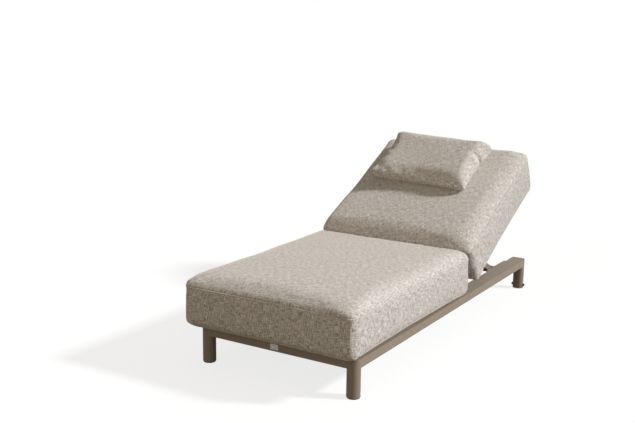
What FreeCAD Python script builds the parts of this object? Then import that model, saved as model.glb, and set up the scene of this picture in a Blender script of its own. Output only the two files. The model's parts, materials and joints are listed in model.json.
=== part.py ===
import FreeCAD, Part
import math
import os

# A lounger with a padded seat, a reclining padded back and a loose head pillow, on a low metal frame.
# Millimetres and degrees, +Z up, floor at z = 0, feet towards -Y, head towards +Y.
# Left is the left of the person who lies on it, which is +X.
# The origin is the middle of the underside of the box round the whole lounger.

Vector = FreeCAD.Vector

# Frame
frame_length = 2000.0
frame_width = 810.0
rail_width = 80.0
rail_height = 40.0
rail_wall = 3.0
rail_top = 172.0
leg_diameter = 60.0
leg_wall = 3.0
cross_member_width = 40.0
cross_member_height = 25.0
cross_member_wall = 2.0

# Front feet and rear wheels
glide_height = 5.0
glide_rim = 2.0
glide_plug_length = 22.0
glide_rounding = 1.5
wheel_diameter = 42.0
wheel_width = 30.0
tyre_thickness = 6.0
axle_diameter = 12.0
axle_cap_wall = 1.5
axle_cap_length = 7.0
axle_end = 5.0
rear_leg_lift = 3.0

# Seat deck
deck_rise = 8.0
slat_gap_least = 25.0
slat_width = 80.0
slat_thickness = 12.0
slat_wall = 2.0
slat_cap_flange = 3.0
slat_cap_depth = 12.0
slat_end_clearance = 1.0
ledge_width = 30.0
ledge_thickness = 6.0
deck_margin = 10.0
deck_to_hinge = 50.0
screw_diameter = 5.0
screw_head_diameter = 9.0
screw_head_height = 3.0

# Reclining back: angles above level, and the panel that carries the back cushion
recline = 26.0
recline_stops = (0.0, 13.0, 26.0, 36.0, 45.0)
hinge_from_rear = 915.0
panel_start = 8.0
stile_width = 40.0
stile_height = 18.0
stile_wall = 2.0
back_slat_count = 7
back_ledge_width = 20.0
back_ledge_thickness = 4.0

# Hinge, stay and racks
hinge_pin_diameter = 12.0
hinge_head_diameter = 18.0
hinge_head_height = 6.0
bush_wall = 2.0
bush_flange_diameter = 22.0
bush_flange_thickness = 2.7
bracket_thickness = 6.0
bracket_length = 60.0
lug_thickness = 6.0
lug_rim = 6.0
lug_foot = 45.0
stay_reach = 382.0
stay_lug_inset = 28.0
stay_arm_height = 30.0
stay_arm_thickness = 6.0
stay_pin_diameter = 10.0
stay_clip_thickness = 4.0
stay_clip_diameter = 18.0
stay_bar_diameter = 38.0
stay_bar_wall = 2.5
bar_clearance = 1.0
bar_plug_flange = 3.0
bar_plug_depth = 20.0
bar_pin_diameter = 12.0
rack_rise = 4.0
rack_border = 14.0
rack_notch_depth = 6.0
rack_bolt_diameter = 5.0
rack_bolt_head_diameter = 10.0
rack_bolt_length = 16.0
rack_bolt_inset = 8.0

# Clearances: a running fit, the play beside a turning piece, and the play round the bar's pins
running_clearance = 0.05
side_play = 0.3
slot_play = 0.5

# Cushions and pillow
seat_front_overhang = 88.0
cushion_gap = 9.0
cushion_side_overhang = 30.0
cushion_height = 250.0
cushion_seam_height = 190.0
cushion_lower_round = 30.0
cushion_corner = 45.0
cushion_crown_reach = 140.0
cushion_draw_in = 7.0
cushion_seat_gap = 0.3
back_cushion_length = 905.0
back_cushion_overhang = 25.0
pillow_length = 580.0
pillow_width = 395.0
pillow_height = 110.0
pillow_corner = 26.0
pillow_crown_reach = 100.0
pillow_draw_in = 16.0
pillow_side_offset = -34.0
pillow_from_top = 293.0
pillow_turn = -1.5

# Bare name plate on the front rail
plate_width = 40.0
plate_height = 25.0
plate_thickness = 1.0
plate_corner = 2.0

# Pads: how many steps round each edge, and how the draw-in and the corners change over a pad
pad_edge_steps = 4
pad_crown_steps = 7
cushion_draw_in_share = 0.35
cushion_corner_growth_share = 0.5
pillow_corner_growth_share = 0.3

# Sizes and places that follow from the values above
outer_length = frame_length + seat_front_overhang
outer_front = -outer_length / 2
frame_front = outer_front + seat_front_overhang
frame_rear = frame_front + frame_length
rail_outer = frame_width / 2
rail_inner = rail_outer - rail_width
rail_bottom = rail_top - rail_height
rail_z = (rail_bottom, rail_top)
leg_radius = leg_diameter / 2
leg_bore = leg_radius - leg_wall
leg_x = rail_outer - leg_radius
leg_front_y = frame_front + leg_radius
leg_rear_y = frame_rear - leg_radius
deck_top = rail_top + deck_rise
slat_bottom = deck_top - slat_thickness
slat_half = rail_inner - slat_end_clearance - slat_cap_flange
cushion_width = frame_width + 2 * cushion_side_overhang
stay_bar_radius = stay_bar_diameter / 2
hinge_y = frame_rear - hinge_from_rear
stile_bottom = stay_bar_radius + bar_clearance
panel_top = stile_bottom + stile_height
hinge_z = deck_top - panel_top
stile_outer = rail_inner - bracket_thickness - side_play - bush_flange_thickness
stile_inner = stile_outer - stile_width
panel_end = back_cushion_length - back_cushion_overhang
back_slat_half = stile_inner - slat_end_clearance - slat_cap_flange
deck_front = frame_front + rail_width
deck_rear = hinge_y - deck_to_hinge
bar_travel = [hinge_y + 2 * stay_reach * math.cos(math.radians(stop)) for stop in recline_stops]
plate_inner = rail_inner - bracket_thickness
cushion_slide_per_radian = panel_top + cushion_seam_height
cushion_start = cushion_slide_per_radian * math.radians(recline)
seat_cushion_length = hinge_y - cushion_gap - outer_front


def block(x, y, z):
    """A box between the lower and upper limits on each axis."""
    size = [high - low for low, high in (x, y, z)]
    return Part.makeBox(*size, Vector(x[0], y[0], z[0]))


def rod(radius, x, y, z):
    """A round bar along X between two x limits."""
    return Part.makeCylinder(radius, x[1] - x[0], Vector(x[0], y, z), Vector(1, 0, 0))


def post(radius, x, y, z):
    """A round bar along Z between two z limits."""
    return Part.makeCylinder(radius, z[1] - z[0], Vector(x, y, z[0]))


def plate(x, points):
    """A flat plate between two x limits, with its outline given as (y, z) points."""
    corners = [Vector(x[0], y, z) for y, z in points]
    face = Part.Face(Part.makePolygon(corners + corners[:1]))
    return face.extrude(Vector(x[1] - x[0], 0, 0))


def joined(first, *others):
    """One clean solid from shapes that overlap or touch."""
    return first.fuse(list(others)).removeSplitter()


def across(shape):
    """The same piece on the other side of the lounger."""
    return shape.mirror(Vector(0, 0, 0), Vector(1, 0, 0))


def group(shapes):
    """Separate solids kept together as one named piece."""
    return Part.makeCompound([solid for shape in shapes for solid in shape.Solids])


def pair(name, shape):
    """A left piece and its mirror image, each under its own name."""
    return {name + "_left": shape, name + "_right": across(shape)}


def on_back(shape):
    """Move a piece from the level panel, hinged at the origin, to where it rests."""
    placed = shape.copy()
    placed.rotate(Vector(0, 0, 0), Vector(1, 0, 0), recline)
    placed.translate(Vector(0, hinge_y, hinge_z))
    return placed


def on_stay(shape):
    """Move a piece of the stay from its own frame, with the pivot at the origin, to where it rests."""
    placed = shape.copy()
    placed.rotate(Vector(0, 0, 0), Vector(1, 0, 0), -recline)
    angle = math.radians(recline)
    pivot_y = hinge_y + stay_reach * math.cos(angle)
    pivot_z = hinge_z + stay_reach * math.sin(angle)
    placed.translate(Vector(0, pivot_y, pivot_z))
    return placed


def side_rail():
    """Box tube along the side, rounded with the leg at its outer corners and coped to both legs."""
    rail = block((rail_inner, rail_outer), (frame_front, frame_rear), rail_z)
    corners = [edge for edge in rail.Edges
               if edge.BoundBox.XMin > leg_x and edge.BoundBox.ZLength > rail_wall]
    rail = rail.makeFillet(leg_radius, corners)
    bore = block((rail_inner + rail_wall, rail_outer - rail_wall), (leg_front_y, leg_rear_y),
                 (rail_bottom + rail_wall, rail_top - rail_wall))
    legs = [post(leg_radius, leg_x, y, rail_z) for y in (leg_front_y, leg_rear_y)]
    holes = [rod(rack_bolt_diameter / 2, (rail_inner, rail_inner + rail_wall), y, z)
             for y, z in rack_bolt_places()]
    return rail.cut([bore] + legs + holes)


def cross_tube(y, z, wall):
    """Box tube between the side rails' inner faces."""
    tube = block((-rail_inner, rail_inner), y, z)
    bore = block((-rail_inner, rail_inner), (y[0] + wall, y[1] - wall), (z[0] + wall, z[1] - wall))
    return tube.cut(bore)


def cross_member(rear_y):
    """Low cross tube under the seat deck, by the y of its rear face."""
    z = (rail_bottom, rail_bottom + cross_member_height)
    return cross_tube((rear_y - cross_member_width, rear_y), z, cross_member_wall)


def leg(y, bottom):
    """Round tube closed at its top, flush with the rail."""
    tube = post(leg_radius, leg_x, y, (bottom, rail_top))
    return tube.cut(post(leg_bore, leg_x, y, (bottom, rail_top - leg_wall)))


def front_glide():
    """Foot pad with a plug that presses into the leg."""
    pad = post(leg_radius - glide_rim, leg_x, leg_front_y, (0, glide_height))
    rim = [edge for edge in pad.Edges if edge.BoundBox.ZMax < glide_rounding]
    pad = pad.makeFillet(glide_rounding, rim)
    plug = post(leg_bore, leg_x, leg_front_y, (glide_height, glide_height + glide_plug_length))
    return joined(pad, plug)


def rear_leg():
    """Rear leg tube, cross-drilled for the axle."""
    tube = leg(leg_rear_y, rear_leg_lift)
    drill = rod(axle_diameter / 2, (leg_x - leg_diameter, leg_x + leg_diameter), leg_rear_y, wheel_diameter / 2)
    return tube.cut(drill)


def wheel_parts():
    """Wheel hub, tyre, axle, spacers and axle caps of the left rear leg."""
    y = leg_rear_y
    z = wheel_diameter / 2
    axle_radius = axle_diameter / 2
    bore_radius = axle_radius + running_clearance
    hub_radius = wheel_diameter / 2 - tyre_thickness
    wheel_x = (leg_x - wheel_width / 2, leg_x + wheel_width / 2)
    hub = rod(hub_radius, wheel_x, y, z).cut(rod(bore_radius, wheel_x, y, z))
    tyre = rod(wheel_diameter / 2, wheel_x, y, z).cut(rod(hub_radius, wheel_x, y, z))
    axle = rod(axle_radius, (leg_x - leg_radius - axle_end, leg_x + leg_radius + axle_end), y, z)
    leg_height = (0, wheel_diameter)
    spacers = []
    caps = []
    for side in (-1, 1):
        start = leg_x + side * (wheel_width / 2 + side_play)
        spacer_x = sorted((start, leg_x + side * leg_radius))
        spacer = rod(axle_radius + axle_cap_wall, spacer_x, y, z).common(post(leg_bore, leg_x, y, leg_height))
        spacers.append(spacer.cut(axle))
        cap_x = sorted((leg_x + side * leg_bore, leg_x + side * (leg_radius + axle_cap_length)))
        cap = rod(axle_radius + axle_cap_wall, cap_x, y, z).cut(post(leg_radius, leg_x, y, leg_height))
        caps.append(cap.cut(axle))
    return {"wheel_hub": hub, "wheel_tyre": tyre, "wheel_axle": axle,
            "wheel_spacers": group(spacers), "axle_caps": group(caps)}


def slat(half_length, y, z):
    """Hollow flat slat across the lounger."""
    tube = block((-half_length, half_length), y, z)
    bore = block((-half_length, half_length), (y[0] + slat_wall, y[1] - slat_wall),
                 (z[0] + slat_wall, z[1] - slat_wall))
    return tube.cut(bore)


def slat_cap(half_length, y, z):
    """Plastic cap that plugs the left end of a slat."""
    flange = block((half_length, half_length + slat_cap_flange), y, z)
    plug = block((half_length - slat_cap_depth, half_length), (y[0] + slat_wall, y[1] - slat_wall),
                 (z[0] + slat_wall, z[1] - slat_wall))
    return joined(flange, plug)


def slat_screw(x, y, z):
    """Screw up through a ledge into a slat's lower wall, by the z of the ledge's underside."""
    head = post(screw_head_diameter / 2, x, y, (z - screw_head_height, z))
    return joined(head, post(screw_diameter / 2, x, y, (z, z + ledge_thickness + slat_wall)))


def seat_slat_starts():
    """The y of each seat slat's front edge, for as many slats as the deck has room for."""
    first = deck_front + deck_margin
    room = deck_rear - first
    count = math.floor((room + slat_gap_least) / (slat_width + slat_gap_least))
    pitch = (room - slat_width) / (count - 1)
    return [first + pitch * place for place in range(count)]


def seat_deck():
    """Slats, their caps and screws, and the ledges that carry them."""
    screw_x = rail_inner - ledge_width / 2
    slat_z = (slat_bottom, deck_top)
    ledge = block((rail_inner - ledge_width, rail_inner), (deck_front, deck_rear),
                  (slat_bottom - ledge_thickness, slat_bottom))
    slats = []
    caps = []
    screws = []
    for start in seat_slat_starts():
        slat_y = (start, start + slat_width)
        screw = slat_screw(screw_x, start + slat_width / 2, slat_bottom - ledge_thickness)
        cap = slat_cap(slat_half, slat_y, slat_z)
        slats.append(slat(slat_half, slat_y, slat_z).cut([screw, across(screw)]))
        caps += [cap, across(cap)]
        screws += [screw, across(screw)]
    parts = {"seat_slats": group(slats), "seat_slat_caps": group(caps), "seat_slat_screws": group(screws)}
    parts.update(pair("seat_ledge", ledge.cut(screws)))
    return parts


def hinge_bracket():
    """Plate on the rail's inner face that holds the hinge pin."""
    half = bracket_length / 2
    body = block((plate_inner, rail_inner), (hinge_y - half, hinge_y + half), rail_z)
    return body.cut(rod(hinge_pin_diameter / 2, (plate_inner, rail_inner), hinge_y, hinge_z))


def hinge_pin():
    """Headed pin through the bracket; the lug of the back turns on it."""
    head_outer = stile_outer - lug_thickness - side_play
    head = rod(hinge_head_diameter / 2, (head_outer - hinge_head_height, head_outer), hinge_y, hinge_z)
    shank = rod(hinge_pin_diameter / 2, (head_outer, rail_inner), hinge_y, hinge_z)
    return joined(head, shank)


def hinge_bush():
    """Flanged bush in the hinge lug, in the panel's frame."""
    bore = hinge_pin_diameter / 2 + running_clearance
    sleeve_x = (stile_outer - lug_thickness, stile_outer)
    flange_x = (stile_outer, stile_outer + bush_flange_thickness)
    sleeve = rod(hinge_pin_diameter / 2 + bush_wall, sleeve_x, 0, 0)
    flange = rod(bush_flange_diameter / 2, flange_x, 0, 0)
    return joined(sleeve, flange).cut(rod(bore, (sleeve_x[0], flange_x[1]), 0, 0))


def lug(x, place, hole_radius, foot):
    """Plate lug under a stile, round a pivot at the given distance along the panel."""
    reach = hole_radius + lug_rim
    web = plate(x, [(place - reach, 0), (foot[0], stile_bottom), (foot[1], stile_bottom), (place + reach, 0)])
    body = joined(rod(reach, x, place, 0), web)
    return body.cut(rod(hole_radius, x, place, 0))


def stay_lug_x():
    """The x limits of the left stay lug."""
    outer = stile_outer - stay_lug_inset
    return (outer - lug_thickness, outer)


def stay_arm_x():
    """The x limits of the left stay arm, beside its lug."""
    outer = stay_lug_x()[0] - side_play
    return (outer - stay_arm_thickness, outer)


def stile():
    """Side tube of the panel."""
    tube = block((stile_inner, stile_outer), (panel_start, panel_end), (stile_bottom, panel_top))
    bore = block((stile_inner + stile_wall, stile_outer - stile_wall),
                 (panel_start + stile_wall, panel_end - stile_wall),
                 (stile_bottom + stile_wall, panel_top - stile_wall))
    vent = rod(rack_bolt_diameter / 2, (stile_inner, stile_inner + stile_wall),
               panel_end - stile_width / 2, stile_bottom + stile_height / 2)
    return tube.cut([bore, vent])


def hinge_lug():
    """Lug welded under a stile's lower end, round the hinge axis."""
    x = (stile_outer - lug_thickness, stile_outer)
    return lug(x, 0, hinge_pin_diameter / 2 + bush_wall, (panel_start, panel_start + lug_foot))


def stay_lug():
    """Lug welded under a stile, round the stay's pivot."""
    foot = (stay_reach - lug_foot, stay_reach + lug_foot)
    return lug(stay_lug_x(), stay_reach, stay_pin_diameter / 2, foot)


def panel_rail(start):
    """Cross tube between the stiles, by the distance of its lower face along the panel."""
    y = (start, start + stile_width)
    z = (stile_bottom, panel_top)
    tube = block((-stile_inner, stile_inner), y, z)
    bore = block((-stile_inner, stile_inner), (y[0] + stile_wall, y[1] - stile_wall),
                 (z[0] + stile_wall, z[1] - stile_wall))
    return tube.cut(bore)


def back_panel():
    """Rails, slats, caps and ledges of the panel, in the panel's frame."""
    inner_start = panel_start + stile_width
    inner_end = panel_end - stile_width
    gap = (inner_end - inner_start - back_slat_count * slat_width) / (back_slat_count + 1)
    slat_z = (panel_top - slat_thickness, panel_top)
    ledge = block((stile_inner - back_ledge_width, stile_inner), (inner_start, inner_end),
                  (slat_z[0] - back_ledge_thickness, slat_z[0]))
    slats = []
    caps = []
    for place in range(back_slat_count):
        start = inner_start + gap + place * (slat_width + gap)
        slat_y = (start, start + slat_width)
        cap = slat_cap(back_slat_half, slat_y, slat_z)
        slats.append(slat(back_slat_half, slat_y, slat_z))
        caps += [cap, across(cap)]
    parts = {"back_bottom_rail": panel_rail(panel_start), "back_top_rail": panel_rail(inner_end),
             "back_slats": group(slats), "back_slat_caps": group(caps)}
    parts.update(pair("back_stile", stile()))
    parts.update(pair("hinge_lug", hinge_lug()))
    parts.update(pair("stay_lug", stay_lug()))
    parts.update(pair("back_ledge", ledge))
    parts.update(pair("hinge_bush", hinge_bush()))
    parts.update(pair("stay_pin", stay_pin()))
    return parts


def stay_pin():
    """Pivot pin fixed in the stay lug, with a clip inside the arm."""
    clip_outer = stay_arm_x()[0] - side_play
    clip = rod(stay_clip_diameter / 2, (clip_outer - stay_clip_thickness, clip_outer), stay_reach, 0)
    shank = rod(stay_pin_diameter / 2, (clip_outer, stay_lug_x()[1]), stay_reach, 0)
    return joined(clip, shank)


def stay_parts():
    """Arms, bar, bushes and end plugs of the stay, with the pivot at the origin and the bar along +Y."""
    x = stay_arm_x()
    bush_radius = stay_pin_diameter / 2 + bush_wall
    half = stay_arm_height / 2
    arm = joined(block(x, (0, stay_reach), (-half, half)), rod(half, x, 0, 0))
    arm = arm.cut([rod(bush_radius, x, 0, 0), rod(stay_bar_radius, x, stay_reach, 0)])
    bush = rod(bush_radius, x, 0, 0).cut(rod(stay_pin_diameter / 2 + running_clearance, x, 0, 0))
    bar_end = plate_inner - slot_play - bar_plug_flange
    bar_x = (-bar_end, bar_end)
    bore_radius = stay_bar_radius - stay_bar_wall
    bar = rod(stay_bar_radius, bar_x, stay_reach, 0).cut(rod(bore_radius, bar_x, stay_reach, 0))
    plug = joined(rod(bore_radius, (bar_end - bar_plug_depth, bar_end), stay_reach, 0),
                  rod(stay_bar_radius, (bar_end, bar_end + bar_plug_flange), stay_reach, 0),
                  rod(bar_pin_diameter / 2, (bar_end, rail_inner - slot_play), stay_reach, 0))
    parts = {"stay_bar": bar}
    parts.update(pair("stay_arm", arm))
    parts.update(pair("stay_bush", bush))
    parts.update(pair("stay_bar_plug", plug))
    return parts


def rack_limits():
    """The y and z limits of the rack plate round its slot."""
    slot_half = bar_pin_diameter / 2 + slot_play
    y = (min(bar_travel) - slot_half - rack_border, max(bar_travel) + slot_half + rack_border)
    return y, (hinge_z - rack_notch_depth - slot_half - rack_border / 2, rail_top + rack_rise)


def rack_bolt_places():
    """The (y, z) of each countersunk bolt through a rack into the side rail."""
    y = rack_limits()[0]
    ends = (y[0] + rack_bolt_inset, (y[0] + y[1]) / 2, y[1] - rack_bolt_inset)
    return [(place, rail_top - rail_wall - rack_bolt_inset / 2) for place in ends]


def rack_bolt(y, z):
    """Countersunk bolt, flush with the rack's inner face."""
    depth = bracket_thickness / 2
    cone = Part.makeCone(rack_bolt_head_diameter / 2, rack_bolt_diameter / 2, depth,
                         Vector(plate_inner, y, z), Vector(1, 0, 0))
    shank = rod(rack_bolt_diameter / 2, (plate_inner + depth, plate_inner + rack_bolt_length), y, z)
    return joined(cone, shank)


def rack():
    """Slotted plate on the rail's inner face: the bar's pin runs in the slot and drops into a notch."""
    y, z = rack_limits()
    x = (plate_inner, rail_inner)
    half = bar_pin_diameter / 2 + slot_play
    cuts = [block(x, (min(bar_travel), max(bar_travel)), (hinge_z - half, hinge_z + half))]
    cuts += [rod(half, x, end, hinge_z) for end in (min(bar_travel), max(bar_travel))]
    for stop_y in bar_travel:
        cuts.append(block(x, (stop_y - half, stop_y + half), (hinge_z - rack_notch_depth, hinge_z)))
        cuts.append(rod(half, x, stop_y, hinge_z - rack_notch_depth))
    bolts = [rack_bolt(*place) for place in rack_bolt_places()]
    return block(x, y, z).cut(cuts + bolts), group(bolts)


def name_plate():
    """Bare plate on the middle of the front rail."""
    middle = (rail_bottom + rail_top) / 2
    body = block((-plate_width / 2, plate_width / 2), (frame_front - plate_thickness, frame_front),
                 (middle - plate_height / 2, middle + plate_height / 2))
    corners = [edge for edge in body.Edges if edge.BoundBox.YLength > plate_thickness / 2
               and edge.BoundBox.XLength < plate_corner and edge.BoundBox.ZLength < plate_corner]
    return body.makeFillet(plate_corner, corners)


def outline(half_x, half_y, corner, draw_in, z):
    """Closed wire of eight arcs: four sides drawn in at their middles, and four round corners."""
    inset = corner * (1 - math.sqrt(0.5))
    arcs = []
    for turn, along, beside in ((0, half_x, half_y), (90, half_y, half_x),
                                (180, half_x, half_y), (270, half_y, half_x)):
        side = [(along, corner - beside), (along - draw_in, 0), (along, beside - corner)]
        bend = [(along, beside - corner), (along - inset, beside - inset), (along - corner, beside)]
        for points in (side, bend):
            arc = Part.Arc(*[Vector(px, py, z) for px, py in points]).toShape()
            arc.rotate(Vector(0, 0, 0), Vector(0, 0, 1), turn)
            arcs.append(arc)
    return Part.Wire(arcs)


def quarter(steps, reach, low, high):
    """Levels of a quarter ellipse as (height, inset), from upright at low to level at high."""
    angles = [math.radians(90) * step / steps for step in range(steps + 1)]
    return [(low + (high - low) * math.sin(angle), reach * (1 - math.cos(angle))) for angle in angles]


def pad(size_x, size_y, corner, growth_share, levels):
    """Closed pad, lofted through outlines given from the bottom up as (height, inset, draw-in)."""
    wires = []
    for height, inset, draw_in in levels:
        level_corner = corner + growth_share * inset
        wires.append(outline(size_x / 2 - inset, size_y / 2 - inset, level_corner, draw_in, height))
    return Part.makeLoft(wires, True, True)


def cushion(length):
    """Box cushion centred over the origin, standing on z = 0, crowned, with its sides drawn in at the seams."""
    lower = quarter(pad_edge_steps, cushion_lower_round, cushion_lower_round, 0)[::-1]
    upper = quarter(pad_crown_steps, cushion_crown_reach, cushion_seam_height, cushion_height)
    levels = [(height, inset, cushion_draw_in) for height, inset in lower + upper]
    middle = (cushion_lower_round + cushion_seam_height) / 2
    levels.insert(len(lower), (middle, 0, cushion_draw_in * cushion_draw_in_share))
    return pad(cushion_width, length, cushion_corner, cushion_corner_growth_share, levels)


def seat_cushion():
    """Seat cushion on the deck, standing out over the front rail."""
    body = cushion(seat_cushion_length)
    body.translate(Vector(0, outer_front + seat_cushion_length / 2, deck_top + cushion_seat_gap))
    return body


def back_cushion():
    """Back cushion on the panel, in the panel's frame."""
    body = cushion(back_cushion_length)
    body.translate(Vector(0, cushion_start + back_cushion_length / 2, panel_top + cushion_seat_gap))
    return body


def head_pillow():
    """Loose pillow lying on the back cushion's crown, in the panel's frame."""
    middle = pillow_height / 2
    lower = quarter(pad_crown_steps, pillow_crown_reach, middle, 0)[:0:-1]
    upper = quarter(pad_crown_steps, pillow_crown_reach, middle, pillow_height)
    levels = [(height, inset, pillow_draw_in) for height, inset in lower + upper]
    body = pad(pillow_length, pillow_width, pillow_corner, pillow_corner_growth_share, levels)
    body.rotate(Vector(0, 0, 0), Vector(0, 0, 1), pillow_turn)
    place = cushion_start + back_cushion_length - pillow_from_top
    body.translate(Vector(pillow_side_offset, place, panel_top + cushion_height + 2 * cushion_seat_gap))
    return body


def lounger():
    """Every named piece of the lounger where it rests."""
    rack_plate, rack_bolts = rack()
    pieces = {"front_rail": cross_tube((frame_front, deck_front), rail_z, rail_wall),
              "cross_member_front": cross_member((deck_front + deck_rear) / 2),
              "cross_member_rear": cross_member(deck_rear),
              "name_plate": name_plate(),
              "seat_cushion": seat_cushion()}
    pieces.update(pair("side_rail", side_rail()))
    pieces.update(pair("front_leg", leg(leg_front_y, glide_height)))
    pieces.update(pair("front_glide", front_glide()))
    pieces.update(pair("rear_leg", rear_leg()))
    for name, shape in wheel_parts().items():
        pieces.update(pair(name, shape))
    pieces.update(seat_deck())
    pieces.update(pair("hinge_bracket", hinge_bracket()))
    pieces.update(pair("hinge_pin", hinge_pin()))
    pieces.update(pair("rack", rack_plate))
    pieces["rack_bolts"] = group([rack_bolts, across(rack_bolts)])
    for name, shape in back_panel().items():
        pieces[name] = on_back(shape)
    for name, shape in stay_parts().items():
        pieces[name] = on_stay(shape)
    pieces["back_cushion"] = on_back(back_cushion())
    pieces["head_pillow"] = on_back(head_pillow())
    return pieces


os.makedirs("parts", exist_ok=True)
for piece_name, piece in lounger().items():
    piece.exportStep("parts/" + piece_name + ".step")
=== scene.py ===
import json
import math

import bmesh
import bpy
import numpy as np
from bpy.props import FloatProperty, FloatVectorProperty, PointerProperty
from mathutils import Matrix, Vector, noise


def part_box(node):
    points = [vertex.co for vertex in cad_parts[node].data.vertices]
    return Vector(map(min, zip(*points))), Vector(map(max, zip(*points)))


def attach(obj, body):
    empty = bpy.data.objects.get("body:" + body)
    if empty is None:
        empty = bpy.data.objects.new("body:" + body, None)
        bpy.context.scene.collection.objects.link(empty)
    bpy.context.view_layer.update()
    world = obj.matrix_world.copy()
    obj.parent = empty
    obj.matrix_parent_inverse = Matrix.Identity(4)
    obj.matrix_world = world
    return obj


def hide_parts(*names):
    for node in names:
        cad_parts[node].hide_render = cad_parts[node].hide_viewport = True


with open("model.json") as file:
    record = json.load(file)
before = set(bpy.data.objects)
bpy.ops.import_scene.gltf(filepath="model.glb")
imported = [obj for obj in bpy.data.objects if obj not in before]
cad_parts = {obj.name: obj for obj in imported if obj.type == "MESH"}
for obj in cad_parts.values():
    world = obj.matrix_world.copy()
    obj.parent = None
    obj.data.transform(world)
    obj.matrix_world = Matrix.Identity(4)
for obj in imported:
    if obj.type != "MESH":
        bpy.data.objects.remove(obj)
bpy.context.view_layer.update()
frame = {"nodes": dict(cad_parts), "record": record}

bl_info = {
    "name": "Spa relaxation lounger",
    "version": (1, 0, 0),
    "blender": (4, 5, 0),
    "location": "3D View > Sidebar > Lounger",
    "description": "Cushions, finishes and studio for a lounger on its measured frame",
    "category": "Object",
}

MILLIMETRE = 0.001
SIM_LAST_FRAME = 20
BOX_VOXEL, PILLOW_VOXEL = 0.012, 0.007

# Forms of the boxed cushions, in metres. "Foot" is the lower end and "head" the upper one.
#   lower_round: radius of the lower edge at the foot, the head and the sides
#   tuck: how far that edge pulls in, in radii
#   corner: radius in plan at the left, the right and the head
#   roll: reach of the top's round edge at the foot, the head, the left and the right
#   dome: rise of the top's middle
#   thicker: extra height at the head
#   lean: how far the left side stands up and the right side down
#   bulge, undercut: how far the head's lower part and the foot's lower part draw in
#   droop: how far the lower side edges hang
SEAT_FORM = {
    "lower_round": (0.040, 0.030, 0.036), "tuck": 1.8,
    "corner": (0.046, 0.034, 0.024), "roll": (0.125, 0.036, 0.034, 0.062),
    "dome": 0.024, "thicker": 0.0, "lean": 0.0, "bulge": 0.0, "undercut": 0.0, "droop": 0.0,
}
BACK_FORM = {
    "lower_round": (0.006, 0.085, 0.014), "tuck": 1.0,
    "corner": (0.045, 0.045, 0.068), "roll": (0.105, 0.080, 0.032, 0.120),
    "dome": 0.012, "thicker": 0.004, "lean": 0.007, "bulge": 0.030, "undercut": 0.034,
    "droop": 0.020,
}
SEAT_PROUD, BACK_PROUD = 0.010, 0.008    # how far a dressed top stands over its solid
BACK_LONGER = 0.010                      # how far each end of the back cushion stands past it

PILLOW_HALF, PILLOW_HEIGHT = (0.290, 0.1975), 0.107
PILLOW_TURN = math.radians(-1.5)
# The seam's height as a share of the pillow's: lower left, lower right, upper left, upper right
PILLOW_SEAM = (0.72, 0.22, 0.74, 0.30)

# Directions towards the two soft lights, and how wide they look
FRONT_LIGHT, FRONT_SPREAD = (0.10, -0.99, 0.06), math.radians(80.0)
TOP_LIGHT, TOP_SPREAD = (0.10, 0.25, 0.95), math.radians(100.0)
WHITE = (1.0, 1.0, 1.0)

YARN_BUNDLES = 380.0                     # streaks of like yarns in a metre of cloth
PAINTED_SHEEN_CONTRAST = 0.62                           # contrast of the weave on panels that lie up, lowered there as painted sheen: it stands in for the light that washes the weave out on lit tops

# Material slot, material, colour, grain, clouding, roughness, relief, metallic and gloss
HARD_FINISHES = (
    ("frame_coat", "Frame coat", "coat", 1400.0, 0.05, 0.52, 0.0002, 0.0, 0.12),
    ("deck_coat", "Deck coat", "deck", 1400.0, 0.06, 0.58, 0.0002, 0.0, 0.12),
    ("black_plastic", "Moulded plastic", "plastic", 2200.0, 0.10, 0.48, 0.0001, 0.0, 0.12),
    ("tyre_rubber", "Tyre rubber", "rubber", 1100.0, 0.20, 0.78, 0.0003, 0.0, 0.12),
    ("bright_steel", "Bright steel", "steel", 1800.0, 0.08, 0.30, 0.00004, 1.0, 0.5),
    ("bare_plate", "Bare plate", "plate", 1600.0, 0.06, 0.42, 0.00005, 0.25, 0.3),
)


# Sizes and colours that a user would change


class LoungerCushions(bpy.types.PropertyGroup):
    """Shape of the three padded pieces"""
    draw_in: FloatProperty(
        name="Draw-in", description="How far the sides pull in between the corners",
        default=0.007, unit="LENGTH")
    seat_seam: FloatProperty(
        name="Seat seam", description="Height of the seat cushion's upper seam above its underside",
        default=0.195, unit="LENGTH")
    back_seam: FloatProperty(
        name="Back seam", description="Height of the back cushion's upper seam above its underside",
        default=0.193, unit="LENGTH")
    lower_seam: FloatProperty(
        name="Lower seam", description="Height of the lower seam above the underside",
        default=0.013, unit="LENGTH")
    seam_depth: FloatProperty(
        name="Seam depth", description="Depth of the sewn groove",
        default=0.0045, unit="LENGTH")
    seam_lip: FloatProperty(
        name="Seam lip", description="Height of the turned edge below the groove",
        default=0.0018, unit="LENGTH")
    swell: FloatProperty(
        name="Swell", description="Most that the filling pushes a cushion's cover out",
        default=0.004, unit="LENGTH")
    plump: FloatProperty(
        name="Plumpness", description="Pressure that fills the cushions in the cloth simulation",
        default=4.0, min=0.0)


class LoungerFabric(bpy.types.PropertyGroup):
    """Yarns of the woven cover"""
    light_yarn: FloatVectorProperty(
        name="Light yarn", description="Colour of the lightest yarns",
        default=(0.830, 0.800, 0.776), subtype="COLOR", size=3, min=0.0, max=1.0)
    middle_yarn: FloatVectorProperty(
        name="Middle yarn", description="Colour of most yarns",
        default=(0.635, 0.597, 0.562), subtype="COLOR", size=3, min=0.0, max=1.0)
    dark_yarn: FloatVectorProperty(
        name="Dark yarn", description="Colour of the darkest yarns",
        default=(0.345, 0.306, 0.266), subtype="COLOR", size=3, min=0.0, max=1.0)
    yarn_pitch: FloatProperty(
        name="Yarn pitch", description="Distance from one yarn to the next",
        default=0.0028, unit="LENGTH", precision=4)
    slub_length: FloatProperty(
        name="Slub length", description="Length of the thick and thin places along a yarn",
        default=0.012, unit="LENGTH")


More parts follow.
